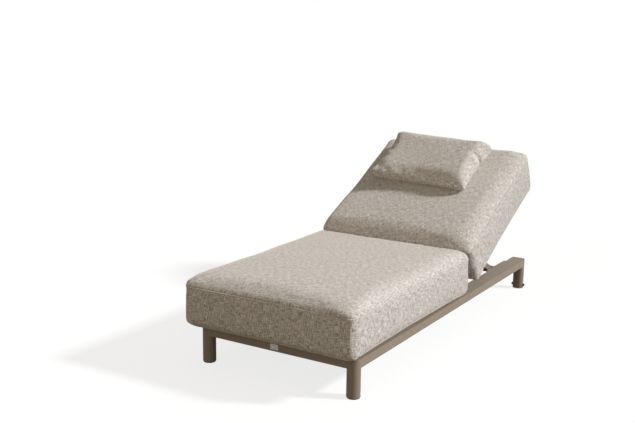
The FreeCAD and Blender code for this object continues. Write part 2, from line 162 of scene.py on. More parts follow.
class LoungerFinishes(bpy.types.PropertyGroup):
    """Colours of the hard pieces"""
    coat: FloatVectorProperty(
        name="Frame coat", description="Powder coat of the frame",
        default=(0.262, 0.217, 0.170), subtype="COLOR", size=3, min=0.0, max=1.0)
    deck: FloatVectorProperty(
        name="Deck coat", description="Powder coat of the slats",
        default=(0.235, 0.208, 0.172), subtype="COLOR", size=3, min=0.0, max=1.0)
    plastic: FloatVectorProperty(
        name="Plastic", description="Moulded plastic of caps, bushes and glides",
        default=(0.022, 0.021, 0.020), subtype="COLOR", size=3, min=0.0, max=1.0)
    rubber: FloatVectorProperty(
        name="Rubber", description="Tyres of the rear wheels",
        default=(0.036, 0.034, 0.032), subtype="COLOR", size=3, min=0.0, max=1.0)
    steel: FloatVectorProperty(
        name="Steel", description="Pins, axles, screws and bolts",
        default=(0.620, 0.610, 0.590), subtype="COLOR", size=3, min=0.0, max=1.0)
    plate: FloatVectorProperty(
        name="Plate", description="Bare plate on the front rail",
        default=(0.480, 0.465, 0.430), subtype="COLOR", size=3, min=0.0, max=1.0)


class LoungerStudio(bpy.types.PropertyGroup):
    """Light, floor and camera"""
    key_strength: FloatProperty(
        name="Key light", description="Strength of the key light", default=3.8, min=0.0)
    front_strength: FloatProperty(
        name="Front light", description="Strength of the soft light from the front",
        default=1.22, min=0.0)
    top_strength: FloatProperty(
        name="Top light", description="Strength of the soft light from above",
        default=0.28, min=0.0)
    key_direction: FloatVectorProperty(
        name="Key direction", description="From the object towards the key light",
        default=(0.755, 0.365, 0.545), subtype="DIRECTION", size=3)
    key_spread: FloatProperty(
        name="Key spread", description="Apparent width of the key light",
        default=math.radians(7.0), subtype="ANGLE")
    fill_strength: FloatProperty(
        name="Fill light", description="Strength of the light from all round",
        default=0.12, min=0.0)
    fill_colour: FloatVectorProperty(
        name="Fill colour", description="Colour of the light from all round",
        default=(1.0, 0.87, 0.68), subtype="COLOR", size=3, min=0.0, max=1.0)
    camera_place: FloatVectorProperty(
        name="Camera place", description="Position of the camera",
        default=(2.1499, -4.0976, 1.5387), subtype="TRANSLATION", size=3)
    camera_azimuth: FloatProperty(
        name="Camera azimuth", description="Turn of the camera about the vertical",
        default=math.radians(31.718), subtype="ANGLE")
    camera_elevation: FloatProperty(
        name="Camera elevation", description="Angle that the camera looks down by",
        default=math.radians(11.775), subtype="ANGLE")
    camera_roll: FloatProperty(
        name="Camera roll", description="Turn of the camera about its own axis",
        default=math.radians(0.749), subtype="ANGLE")
    lens: FloatProperty(
        name="Lens", description="Focal length in millimetres", default=53.118, min=1.0)


# Node helpers


def feed(tree, socket, value):
    """Link a socket, or set its value."""
    if isinstance(value, bpy.types.NodeSocket):
        tree.links.new(value, socket)
    else:
        socket.default_value = value


def maths(tree, operation, *values, clamp=False):
    node = tree.nodes.new("ShaderNodeMath")
    node.operation = operation
    node.use_clamp = clamp
    for socket, value in zip(node.inputs, values):
        feed(tree, socket, value)
    return node.outputs[0]


def vector_maths(tree, operation, *values):
    node = tree.nodes.new("ShaderNodeVectorMath")
    node.operation = operation
    for socket, value in zip(node.inputs, values):
        feed(tree, socket, value)
    return node.outputs[0]


def point(tree, x, y, z=0.0):
    node = tree.nodes.new("ShaderNodeCombineXYZ")
    for socket, value in zip(node.inputs, (x, y, z)):
        feed(tree, socket, value)
    return node.outputs[0]


def apart(tree, vector):
    node = tree.nodes.new("ShaderNodeSeparateXYZ")
    feed(tree, node.inputs[0], vector)
    return node.outputs[0], node.outputs[1], node.outputs[2]


def mixed(tree, share, first, second):
    node = tree.nodes.new("ShaderNodeMix")
    node.data_type = "FLOAT"
    feed(tree, node.inputs[0], share)
    feed(tree, node.inputs[2], first)
    feed(tree, node.inputs[3], second)
    return node.outputs[0]


def mixed_colour(tree, share, first, second, blend="MIX"):
    node = tree.nodes.new("ShaderNodeMix")
    node.data_type = "RGBA"
    node.blend_type = blend
    feed(tree, node.inputs[0], share)
    for socket, value in ((node.inputs[6], first), (node.inputs[7], second)):
        feed(tree, socket, value if isinstance(value, bpy.types.NodeSocket) else (*value, 1.0))
    return node.outputs[2]


def clouds(tree, vector, scale, detail=2.0, roughness=0.5, dimensions="3D"):
    node = tree.nodes.new("ShaderNodeTexNoise")
    node.noise_dimensions = dimensions
    feed(tree, node.inputs["Vector"], vector)
    feed(tree, node.inputs["Scale"], scale)
    node.inputs["Detail"].default_value = detail
    node.inputs["Roughness"].default_value = roughness
    return node.outputs[0]


def spread(tree, value, low, high, to_low=0.0, to_high=1.0):
    node = tree.nodes.new("ShaderNodeMapRange")
    feed(tree, node.inputs[0], value)
    for socket, level in zip(node.inputs[1:5], (low, high, to_low, to_high)):
        feed(tree, socket, level)
    return node.outputs[0]


def object_point(tree):
    return tree.nodes.new("ShaderNodeTexCoord").outputs["Object"]


def new_group(name, takes, gives):
    """An empty node group with named sockets, and its input and output nodes."""
    group = bpy.data.node_groups.new(name, "ShaderNodeTree")
    for label, kind, default in takes:
        socket = group.interface.new_socket(label, in_out="INPUT", socket_type=kind)
        if default is not None:
            socket.default_value = default
    for label, kind in gives:
        group.interface.new_socket(label, in_out="OUTPUT", socket_type=kind)
    return group, group.nodes.new("NodeGroupInput"), group.nodes.new("NodeGroupOutput")


def placed_group(tree, group, **values):
    node = tree.nodes.new("ShaderNodeGroup")
    node.node_tree = group
    for label, value in values.items():
        feed(tree, node.inputs[label.replace("_", " ")], value)
    return node


# Effects that several materials share


def weave_plane_group():
    """Plain weave of one flat panel: tone and height from two panel coordinates."""
    group, taken, given = new_group(
        "Weave plane",
        (("U", "NodeSocketFloat", 0.0), ("V", "NodeSocketFloat", 0.0),
         ("Pitch", "NodeSocketFloat", 0.003), ("Slub", "NodeSocketFloat", 0.03)),
        (("Tone", "NodeSocketFloat"), ("Height", "NodeSocketFloat")))
    u, v = taken.outputs["U"], taken.outputs["V"]
    pitch, slub = taken.outputs["Pitch"], taken.outputs["Slub"]
    drift = clouds(group, point(group, u, v), 30.0, 1.0, dimensions="2D")
    drift = maths(group, "MULTIPLY", maths(group, "SUBTRACT", drift, 0.5), 0.006)
    u_count = maths(group, "DIVIDE", maths(group, "ADD", u, drift), pitch)
    v_count = maths(group, "DIVIDE", maths(group, "ADD", v, drift), pitch)
    u_yarn, v_yarn = maths(group, "FLOOR", u_count), maths(group, "FLOOR", v_count)
    u_part, v_part = maths(group, "FRACT", u_count), maths(group, "FRACT", v_count)
    over = maths(group, "FLOORED_MODULO", maths(group, "ADD", u_yarn, v_yarn), 2.0)

    def ridge(part):
        side = maths(group, "SUBTRACT", maths(group, "MULTIPLY", part, 2.0), 1.0)
        return maths(group, "SUBTRACT", 1.0, maths(group, "MULTIPLY", side, side))

    def yarn_tone(index, along, seed):
        step = maths(group, "MULTIPLY_ADD", index, 3.71, seed)
        length = maths(group, "DIVIDE", along, slub)
        return clouds(group, point(group, step, length), 1.0, 2.0, 0.6, "2D")

    def bundle_tone(across, along, seed, longer):
        wide = maths(group, "MULTIPLY_ADD", across, YARN_BUNDLES, seed)
        length = maths(group, "DIVIDE", along, maths(group, "MULTIPLY", slub, longer))
        return clouds(group, point(group, wide, length), 1.0, 0.0, 0.5, "2D")

    warp = maths(group, "ADD", maths(group, "MULTIPLY", yarn_tone(u_yarn, v, 11.0), 0.4),
                 maths(group, "MULTIPLY", bundle_tone(u, v, 3.0, 2.2), 0.6))
    weft = maths(group, "ADD", maths(group, "MULTIPLY", yarn_tone(v_yarn, u, 47.0), 0.4),
                 maths(group, "MULTIPLY", bundle_tone(v, u, 71.0, 2.4), 0.6))
    u_ridge, v_ridge = ridge(u_part), ridge(v_part)
    tone = mixed(group, maths(group, "MULTIPLY_ADD", over, 0.6, 0.22), weft, warp)
    height = mixed(group, over, v_ridge, u_ridge)
    height = maths(group, "MULTIPLY", height, mixed(group, over, u_ridge, v_ridge))
    thick = spread(group, tone, 0.3, 0.7, 0.6, 1.0)
    group.links.new(tone, given.inputs["Tone"])
    group.links.new(maths(group, "MULTIPLY", height, thick), given.inputs["Height"])
    return group


def woven_group(plane):
    """Weave over a closed cushion: each panel takes the plane that it faces."""
    group, taken, given = new_group(
        "Woven cover",
        (("Pitch", "NodeSocketFloat", 0.003), ("Slub", "NodeSocketFloat", 0.03),
         ("Dark", "NodeSocketColor", None), ("Middle", "NodeSocketColor", None),
         ("Light", "NodeSocketColor", None)),
        (("Color", "NodeSocketColor"), ("Height", "NodeSocketFloat"),
         ("Roughness", "NodeSocketFloat")))
    places = group.nodes.new("ShaderNodeTexCoord")
    x, y, z = apart(group, places.outputs["Object"])
    facing = vector_maths(group, "ABSOLUTE", places.outputs["Normal"])
    shares = [maths(group, "POWER", part, 8.0) for part in apart(group, facing)]
    total = maths(group, "ADD", maths(group, "ADD", shares[0], shares[1]), shares[2])
    pairs = ((maths(group, "ADD", y, 3.0), z), (x, z), (maths(group, "ADD", x, 7.0), y))
    tone, height = 0.0, 0.0
    for share, (u, v) in zip(shares, pairs):
        sheet = placed_group(group, plane, U=u, V=v, Pitch=taken.outputs["Pitch"],
                             Slub=taken.outputs["Slub"])
        share = maths(group, "DIVIDE", share, total)
        tone = maths(group, "MULTIPLY_ADD", share, sheet.outputs["Tone"], tone)
        height = maths(group, "MULTIPLY_ADD", share, sheet.outputs["Height"], height)
    patch = clouds(group, places.outputs["Object"], 9.0, 2.0)
    patch = maths(group, "MULTIPLY", maths(group, "SUBTRACT", patch, 0.5), 0.02)
    tone = maths(group, "ADD", tone, patch)
    # Painted sheen: the weave's contrast is lowered on panels that face up, standing in for light
    # that washes it out there
    painted_sheen_contrast = spread(group, maths(group, "DIVIDE", shares[2], total), 0.0, 1.0, 1.0, PAINTED_SHEEN_CONTRAST)
    tone = maths(group, "MULTIPLY_ADD", maths(group, "SUBTRACT", tone, 0.5), painted_sheen_contrast, 0.5)
    darker = spread(group, tone, 0.39, 0.50)
    lighter = spread(group, tone, 0.50, 0.59)
    colour = mixed_colour(group, darker, taken.outputs["Dark"], taken.outputs["Middle"])
    colour = mixed_colour(group, lighter, colour, taken.outputs["Light"])
    # Painted shade: the hollows between yarns are darkened by the weave's height
    shade = spread(group, height, 0.0, 0.8, 0.72, 1.06)
    colour = mixed_colour(group, 1.0, colour, point(group, shade, shade, shade), "MULTIPLY")
    group.links.new(colour, given.inputs["Color"])
    group.links.new(height, given.inputs["Height"])
    group.links.new(spread(group, height, 0.0, 1.0, 0.98, 0.86), given.inputs["Roughness"])
    return group


def coat_group():
    """Powder coat or moulded skin: fine orange peel, slight cloudiness and dust."""
    group, taken, given = new_group(
        "Coated skin",
        (("Color", "NodeSocketColor", None), ("Grain", "NodeSocketFloat", 900.0),
         ("Clouding", "NodeSocketFloat", 0.06), ("Roughness", "NodeSocketFloat", 0.5)),
        (("Color", "NodeSocketColor"), ("Roughness", "NodeSocketFloat"),
         ("Height", "NodeSocketFloat")))
    place = object_point(group)
    grain = clouds(group, place, taken.outputs["Grain"], 2.0, 0.6)
    cloud = clouds(group, place, 7.0, 3.0)
    scuff = clouds(group, place, 60.0, 4.0, 0.7)
    swing = maths(group, "MULTIPLY", maths(group, "SUBTRACT", cloud, 0.5), 2.0)
    level = maths(group, "MULTIPLY_ADD", swing, taken.outputs["Clouding"], 1.0)
    level = maths(group, "MULTIPLY", level, spread(group, grain, 0.2, 0.8, 0.94, 1.06))
    grey = point(group, level, level, level)
    colour = mixed_colour(group, 1.0, taken.outputs["Color"], grey, "MULTIPLY")
    rough = maths(group, "ADD", taken.outputs["Roughness"],
                  maths(group, "MULTIPLY", maths(group, "SUBTRACT", scuff, 0.5), 0.22), clamp=True)
    group.links.new(colour, given.inputs["Color"])
    group.links.new(rough, given.inputs["Roughness"])
    group.links.new(grain, given.inputs["Height"])
    return group


# Materials


def new_material(name):
    """A material with an empty sheet, its shader and its output."""
    material = bpy.data.materials.new(name)
    material.use_nodes = True
    tree = material.node_tree
    tree.nodes.clear()
    shader = tree.nodes.new("ShaderNodeBsdfPrincipled")
    output = tree.nodes.new("ShaderNodeOutputMaterial")
    tree.links.new(shader.outputs[0], output.inputs[0])
    return material, tree, shader


def relief(tree, height, distance, strength):
    node = tree.nodes.new("ShaderNodeBump")
    node.inputs["Strength"].default_value = strength
    node.inputs["Distance"].default_value = distance
    tree.links.new(height, node.inputs["Height"])
    return node.outputs[0]


def woven_material(fabric):
    material, tree, shader = new_material("Woven fabric")
    cover = placed_group(
        tree, woven_group(weave_plane_group()), Pitch=fabric.yarn_pitch, Slub=fabric.slub_length,
        Dark=(*fabric.dark_yarn, 1.0), Middle=(*fabric.middle_yarn, 1.0),
        Light=(*fabric.light_yarn, 1.0))
    tree.links.new(cover.outputs["Color"], shader.inputs["Base Color"])
    tree.links.new(cover.outputs["Roughness"], shader.inputs["Roughness"])
    tree.links.new(relief(tree, cover.outputs["Height"], 0.0007, 0.35), shader.inputs["Normal"])
    shader.inputs["Specular IOR Level"].default_value = 0.05
    shader.inputs["Sheen Weight"].default_value = 0.70
    shader.inputs["Sheen Tint"].default_value = (1.0, 0.95, 0.88, 1.0)
    shader.inputs["Sheen Roughness"].default_value = 0.35
    return material


def coated_material(name, skin, colour, grain, clouding, roughness, bump, metallic, gloss):
    """A hard finish from the shared coated skin."""
    material, tree, shader = new_material(name)
    coat = placed_group(tree, skin, Color=(*colour, 1.0), Grain=grain, Clouding=clouding,
                        Roughness=roughness)
    tree.links.new(coat.outputs["Color"], shader.inputs["Base Color"])
    tree.links.new(coat.outputs["Roughness"], shader.inputs["Roughness"])
    tree.links.new(relief(tree, coat.outputs["Height"], bump, 0.4), shader.inputs["Normal"])
    shader.inputs["Metallic"].default_value = metallic
    shader.inputs["Specular IOR Level"].default_value = gloss
    return material


# Soft forms


def lattice(columns, rows, rings):
    """A closed box of quads: its points, from 0 to 1 each way, and its faces."""
    points, faces, index = [], [], {}

    def place(i, j, k):
        key = (i, j, k)
        if key not in index:
            index[key] = len(points)
            points.append(key)
        return index[key]

    def quad(*keys):
        faces.append([place(*key) for key in keys])

    for i in range(columns):
        for j in range(rows):
            quad((i, j, rings), (i + 1, j, rings), (i + 1, j + 1, rings), (i, j + 1, rings))
            quad((i, j, 0), (i, j + 1, 0), (i + 1, j + 1, 0), (i + 1, j, 0))
    for k in range(rings):
        for i in range(columns):
            quad((i, 0, k), (i + 1, 0, k), (i + 1, 0, k + 1), (i, 0, k + 1))
            quad((i + 1, rows, k), (i, rows, k), (i, rows, k + 1), (i + 1, rows, k + 1))
        for j in range(rows):
            quad((columns, j, k), (columns, j + 1, k), (columns, j + 1, k + 1), (columns, j, k + 1))
            quad((0, j + 1, k), (0, j, k), (0, j, k + 1), (0, j + 1, k + 1))
    grid = np.array(points, float)
    return grid / np.array((columns, rows, rings)), faces


def rounded(across, along, half_x, half_y, radius):
    """Move the points of a sharp rectangle onto one with rounded corners."""
    q = np.stack((np.abs(across) - (half_x - radius), np.abs(along) - (half_y - radius)), 1)
    inside = (q > 0).all(1)
    length = np.hypot(q[:, 0], q[:, 1])
    scale = np.where(inside & (length > 0), q.max(1) / np.maximum(length, 1e-9), 1.0)
    q = np.where(inside[:, None], q * scale[:, None], q)
    return (np.sign(across) * (half_x - radius + q[:, 0]),
            np.sign(along) * (half_y - radius + q[:, 1]))


def rolled(distance, reach):
    """Share of a round edge's rise at a distance in from it."""
    return np.sqrt(1.0 - (1.0 - np.clip(distance / reach, 0.0, 1.0)) ** 2)


def ease(value):
    """0 below 0, 1 above 1 and a smooth rise between."""
    value = np.clip(value, 0.0, 1.0)
    return value * value * (3.0 - 2.0 * value)


def box_cushion(half, height, seam, shape, form):
    """Points and faces of a boxed cushion with a crowned top, its underside at zero."""
    half_x, half_y = half
    rings, arc = 20, 8
    unit, faces = lattice(round(2 * half_x / BOX_VOXEL), round(2 * half_y / BOX_VOXEL), rings)
    ring = np.round(unit[:, 2] * rings).astype(int)
    headward = ease(1.5 * (2 * unit[:, 1] - 1) + 0.5)
    rightward = ease(1.5 * (2 * unit[:, 0] - 1) + 0.5)
    turn = np.clip(ring / arc, 0.0, 1.0) * math.pi / 2
    foot_round, head_round, side_round = form["lower_round"]
    end_round = foot_round + (head_round - foot_round) * headward
    level = np.where(ring < arc, side_round * (1.0 - np.cos(turn)),
                     side_round + (seam - side_round) * (ring - arc) / (rings - arc))
    tucked = np.where(ring < arc, 1.0 - np.sin(turn), 0.0) * form["tuck"]
    wide, long = half_x - side_round * tucked, half_y - end_round * tucked
    across, along = (2 * unit[:, 0] - 1) * wide, (2 * unit[:, 1] - 1) * long
    left_corner, right_corner, head_corner = form["corner"]
    corner = left_corner + (right_corner - left_corner) * rightward
    across, along = rounded(across, along, wide, long, corner + (head_corner - corner) * headward)
    top = ring == rings
    foot_roll, head_roll, left_roll, right_roll = form["roll"]
    from_side = rolled(half_x - np.abs(across), left_roll + (right_roll - left_roll) * rightward)
    from_end = rolled(half_y - np.abs(along), foot_roll + (head_roll - foot_roll) * headward)
    dome = form["dome"] * (1 - (across / half_x) ** 2) * (1 - np.abs(along / half_y) ** 3)
    rise = (height - form["dome"] - seam + form["thicker"] * np.clip(along / half_y, 0.0, 1.0)
            - form["lean"] * across / half_x)
    level = np.where(top, seam + rise * from_side * from_end + dome, level)
    low = 1 - np.clip(level / height, 0.0, 1.0)
    slack = np.where(low > 0.38, (low - 0.38) / 0.62, 0.75 * (0.38 - low) / 0.38) ** 2
    along = along - form["bulge"] * slack * np.clip(along / half_y, 0.0, 1.0) ** 8
    along = along + form["undercut"] * low * np.clip(-along / half_y, 0.0, 1.0) ** 8
    across = across * (1 - shape.draw_in / half_x * (1 - (along / half_y) ** 2))
    along = along * (1 - shape.draw_in / half_y * (1 - (across / half_x) ** 2))
    hang = ease((np.abs(across) - (half_x - 0.021)) / 0.009) * ease((0.06 - level) / 0.06)
    level = level - form["droop"] * hang * (0.4 + 0.6 * ease(-1.4 * along / half_y - 0.3))
    return np.stack((across, along, level), 1), faces


def pillow_seam(across, along):
    """Height of the pillow's seam at a place in its plan."""
    half, height = PILLOW_HALF, PILLOW_HEIGHT
    u, v = (across / half[0] + 1) / 2, (along / half[1] + 1) / 2
    lower_left, lower_right, upper_left, upper_right = PILLOW_SEAM
    lower = lower_left + (lower_right - lower_left) * u
    upper = upper_left + (upper_right - upper_left) * u
    return height * (lower + (upper - lower) * v)


def loose_pillow():
    """Points and faces of a loose pillow: two panels sewn round, ears at the corners."""
    half, height, rings = PILLOW_HALF, PILLOW_HEIGHT, 2
    unit, faces = lattice(*(round(2 * part / PILLOW_VOXEL) for part in half), rings)
    ring = np.round(unit[:, 2] * rings).astype(int)
    u, v = 2 * unit[:, 0] - 1, 2 * unit[:, 1] - 1
    across = u * half[0] * (1 - np.where(u < 0, 0.095, 0.045) * (1 - np.abs(v) ** 3))
    across = across + ease(-u) * (0.010 * ease(-v) - 0.010 * ease(v))
    along = v * half[1] * (1 - 0.030 * (1 - np.abs(u) ** 3))
    seam = pillow_seam(across, along)
    side, end = (1 - np.abs(u)) * half[0], (1 - np.abs(v)) * half[1]
    lean = 0.93 + 0.15 * v - 0.07 * ease(u) * ease(v)
    round_top = rolled(side, 0.062) * rolled(end, np.where(v < 0, 0.095, 0.060))
    upper = seam + (height * lean - seam) * round_top ** 0.8
    lower = seam * (1 - rolled(side, 0.050) * rolled(end, 0.045))
    crease = 0.013 * np.exp(-((v - 0.30) / 0.07) ** 2) * np.clip(u, 0.0, 1.0) ** 6
    across = across - crease
    level = np.where(ring == rings, upper + 0.001, np.where(ring == 0, lower - 0.001, seam))
    return np.stack((across, along, level), 1), faces


def mesh_object(name, points, faces):
    mesh = bpy.data.meshes.new(name)
    mesh.from_pydata([tuple(p) for p in points], [], faces)
    mesh.validate()
    piece = bpy.data.objects.new(name, mesh)
    bpy.context.scene.collection.objects.link(piece)
    return piece


def apply_modifiers(piece):
    """Keep the piece's evaluated shape and drop its modifiers."""
    shape = piece.evaluated_get(bpy.context.evaluated_depsgraph_get())
    mesh = bpy.data.meshes.new_from_object(shape)
    old = piece.data
    piece.modifiers.clear()
    piece.data = mesh
    bpy.data.meshes.remove(old)
    mesh.name = piece.name


def corners(mesh):
    values = np.empty(len(mesh.vertices) * 3, np.float32)
    mesh.vertices.foreach_get("co", values)
    return values.reshape(-1, 3).astype(float)


def set_corners(mesh, values):
    mesh.vertices.foreach_set("co", np.ascontiguousarray(values, np.float32).ravel())
    mesh.update()


def normals(mesh):
    values = np.empty(len(mesh.vertices) * 3, np.float32)
    mesh.vertices.foreach_get("normal", values)
    return values.reshape(-1, 3).astype(float)


def remeshed(piece, voxel):
    """The piece as even quads of one size."""
    change = piece.modifiers.new("Even quads", "REMESH")
    change.mode = "VOXEL"
    change.voxel_size = voxel
    apply_modifiers(piece)


def evened(mesh, moved, rounds=8):
    """Smooth a field of moves over the mesh, so that no small wrinkle stays."""
    edges = np.array([edge.vertices[:] for edge in mesh.edges])
    count = np.bincount(edges.ravel(), minlength=len(moved))[:, None]
    for _ in range(rounds):
        around = np.zeros_like(moved)
        np.add.at(around, edges[:, 0], moved[edges[:, 1]])
        np.add.at(around, edges[:, 1], moved[edges[:, 0]])
        moved = (moved + around / count) / 2
    return moved


def stuffed(piece, pressure, cap, held, slack):
    """Fill the cover in a cloth simulation. Points of the held mask stay in place.

    The slack is the share that the cloth may stretch, and the cap the most that a point may move.
    """
    start = corners(piece.data)
    group = piece.vertex_groups.new(name="held")
    group.add([int(n) for n in np.nonzero(held)[0]], 1.0, "REPLACE")
    cloth = piece.modifiers.new("Cover", "CLOTH")
    settings = cloth.settings
    settings.quality = 4
    settings.mass = 0.3
    settings.tension_stiffness = 12.0
    settings.compression_stiffness = 12.0
    settings.shear_stiffness = 5.0
    settings.bending_stiffness = 0.6
    settings.use_pressure = True
    settings.uniform_pressure_force = pressure
    settings.effector_weights.gravity = 0.0
    settings.vertex_group_mass = "held"
    settings.shrink_min = -slack
    cloth.collision_settings.use_collision = False
    cloth.point_cache.frame_start = 1
    cloth.point_cache.frame_end = SIM_LAST_FRAME
    scene = bpy.context.scene
    for step in range(1, SIM_LAST_FRAME + 1):
        scene.frame_set(step)
    apply_modifiers(piece)
    scene.frame_set(1)
    moved = corners(piece.data) - start
    length = np.linalg.norm(moved, axis=1)
    eased = cap * np.tanh(length / cap)
    moved = moved * (eased / np.maximum(length, 1e-9))[:, None]
    set_corners(piece.data, start + evened(piece.data, moved))
    piece.vertex_groups.clear()


def subdivided(piece):
    change = piece.modifiers.new("Finer", "SUBSURF")
    change.levels = change.render_levels = 1
    apply_modifiers(piece)


def seated(piece):
    """Lift the mesh so that its underside, without the edges that may hang lower, is at zero."""
    points = corners(piece.data)
    across = np.abs(points[:, 0])
    points[:, 2] -= points[across < 0.85 * across.max(), 2].min()
    set_corners(piece.data, points)


def seam_loops(piece, level, offsets):
    """Cut edge loops all round the piece at heights just above and below a level."""
    cut = bmesh.new()
    cut.from_mesh(piece.data)
    band = 0.03
    faces = [f for f in cut.faces if abs(f.verts[0].co.z - level) < band]
    near = (list({e for f in faces for e in f.edges}) + faces
            + list({v for f in faces for v in f.verts}))
    for offset in offsets:
        done = bmesh.ops.bisect_plane(cut, geom=near, dist=1e-5, plane_no=(0, 0, 1),
                                      plane_co=(0, 0, level + offset * MILLIMETRE))
        near = [part for part in done["geom"] if part.is_valid]
    cut.to_mesh(piece.data)
    cut.free()


def sewn_seam(piece, level, depth, lip):
    """A groove with a turned lip below it all round at one height, on edge loops of their own."""
    seam_loops(piece, level, (-9.0, -6.5, -4.5, -3.0, -1.6, -0.7, 0.0, 0.8, 2.0, 4.0))
    points, facing = corners(piece.data), normals(piece.data)
    from_seam = (points[:, 2] - level) / MILLIMETRE
    groove = -depth * np.exp(-(from_seam / 1.1) ** 2)
    turned = lip * np.exp(-((from_seam + 3.4) / 2.2) ** 2)
    facing[:, 2] *= 0.4
    set_corners(piece.data, points + facing * (groove + turned)[:, None])


def lived_in(piece, broad, fine, held_below):
    """Small unevenness of a used cushion, none where it rests."""
    points, facing = corners(piece.data), normals(piece.data)
    lift = np.empty(len(points))
    for n, p in enumerate(points):
        place = Vector(p)
        lift[n] = (broad * noise.noise(place * 5.5)
                   + fine * noise.noise(place * 34.0 + Vector((9, 4, 2))))
    lift *= np.clip((points[:, 2] - held_below) / 0.03, 0.0, 1.0)
    set_corners(piece.data, points + facing * lift[:, None])


def smooth(piece):
    for face in piece.data.polygons:
        face.use_smooth = True
    piece.data.update()


def dressed(piece, material, node, body, place=None):
    """Finish and place a padded piece, hide the node that it stands for and hang the piece on its
    body.
    """
    smooth(piece)
    piece.data.materials.clear()
    piece.data.materials.append(material)
    if place is not None:
        piece.matrix_world = place
    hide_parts(node)
    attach(piece, body)


def fabric_material():
    found = bpy.data.materials.get("Woven fabric")
    return found or woven_material(bpy.context.scene.lounger_fabric)


def make_box_cushion(name, shape, half, height, seam, form):
    """A boxed cushion in its own frame: centre of its underside at the origin."""
    points, faces = box_cushion(half, height, seam, shape, form)
    piece = mesh_object(name, points, faces)
    remeshed(piece, BOX_VOXEL)
    points = corners(piece.data)
    by_seam = np.abs(points[:, 2] - seam) < BOX_VOXEL * 0.7
    on_seam = by_seam & (normals(piece.data)[:, 2] < 0.75)
    held = (points[:, 2] < BOX_VOXEL * 0.6) | on_seam
    stuffed(piece, shape.plump, shape.swell, held, 0.02)
    subdivided(piece)
    seated(piece)
    lived_in(piece, 0.0030, 0.0001, 0.004)
    sewn_seam(piece, seam + 0.001, shape.seam_depth, shape.seam_lip)
    sewn_seam(piece, shape.lower_seam, shape.seam_depth * 0.6, shape.seam_lip * 0.6)
    return piece


# Frame of the tilted back panel: x across, y up the panel, z out of it

RECLINE = math.radians(26.0)
HINGE = Vector((0.0, 0.129, 0.142))
PANEL = Matrix.Translation(HINGE) @ Matrix.Rotation(RECLINE, 4, "X")


def panel_box(node):
    """Lowest and highest corner of a node, measured in the panel's frame."""
    back = PANEL.inverted()
    points = np.array([back @ v.co for v in frame["nodes"][node].data.vertices])
    return Vector(points.min(0)), Vector(points.max(0))


# Operators


class LOUNGER_OT_seat_cushion(bpy.types.Operator):
    """Make the long seat cushion"""
    bl_idname = "lounger.seat_cushion"
    bl_label = "Seat cushion"

    def execute(self, context):
        shape = context.scene.lounger_cushions
        low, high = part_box("seat_cushion")
        size = high - low
        half, height = (size.x / 2, size.y / 2), size.z + SEAT_PROUD
        piece = make_box_cushion(
            "seat_cushion_cover", shape, half, height, shape.seat_seam, SEAT_FORM)
        place = Matrix.Translation(((low.x + high.x) / 2, (low.y + high.y) / 2, low.z))
        dressed(piece, fabric_material(), "seat_cushion", "frame", place)
        return {"FINISHED"}


class LOUNGER_OT_back_cushion(bpy.types.Operator):
    """Make the reclining back cushion"""
    bl_idname = "lounger.back_cushion"
    bl_label = "Back cushion"

    def execute(self, context):
        shape = context.scene.lounger_cushions
        low, high = panel_box("back_cushion")
        size = high - low
        half, height = (size.x / 2, size.y / 2 + BACK_LONGER), size.z + BACK_PROUD
        piece = make_box_cushion(
            "back_cushion_cover", shape, half, height, shape.back_seam, BACK_FORM)
        centre = Matrix.Translation(((low.x + high.x) / 2, (low.y + high.y) / 2, low.z))
        dressed(piece, fabric_material(), "back_cushion", "back_cushion", PANEL @ centre)
        return {"FINISHED"}


class LOUNGER_OT_head_pillow(bpy.types.Operator):
    """Make the loose head pillow"""
    bl_idname = "lounger.head_pillow"
    bl_label = "Head pillow"

    def execute(self, context):
        low, high = panel_box("head_pillow")
        piece = mesh_object("head_pillow_cover", *loose_pillow())
        remeshed(piece, PILLOW_VOXEL)
        points = corners(piece.data)
        from_seam = np.abs(points[:, 2] - pillow_seam(points[:, 0], points[:, 1]))
        rim = np.abs(normals(piece.data)[:, 2]) < 0.8
        held = (points[:, 2] < PILLOW_VOXEL * 0.6) | (rim & (from_seam < PILLOW_VOXEL))
        stuffed(piece, 3.0, 0.005, held, 0.03)
        subdivided(piece)
        seated(piece)
        lived_in(piece, 0.0050, 0.0002, 0.004)
        self.seam_raised(piece, -1)
        sewn_seam(piece, 0.0, 0.0035, 0.0014)
        self.seam_raised(piece, 1)
        centre = Matrix.Translation(((low.x + high.x) / 2, (low.y + high.y) / 2, low.z))
        turn = Matrix.Rotation(PILLOW_TURN, 4, "Z")
        dressed(piece, fabric_material(), "head_pillow", "head_pillow", PANEL @ centre @ turn)
        return {"FINISHED"}

    def seam_raised(self, piece, way):
        """Shear the pillow by its seam's height, so that the seam can be cut in one plane."""
        points = corners(piece.data)
        points[:, 2] += way * pillow_seam(points[:, 0], points[:, 1])
        set_corners(piece.data, points)


class LOUNGER_OT_hard_finishes(bpy.types.Operator):
    """Give every hard piece of the frame its finish"""
    bl_idname = "lounger.hard_finishes"
    bl_label = "Hard finishes"

    def execute(self, context):
        colours = context.scene.lounger_finishes
        skin = coat_group()
        made = {slot: coated_material(name, skin, getattr(colours, colour), *values)
                for slot, name, colour, *values in HARD_FINISHES}
        slots = {part["node"]: part["material_slot"] for part in frame["record"]["subparts"]}
        for name, node in frame["nodes"].items():
            if slots[name] in made:
                node.material_slots[0].material = made[slots[name]]
        return {"FINISHED"}


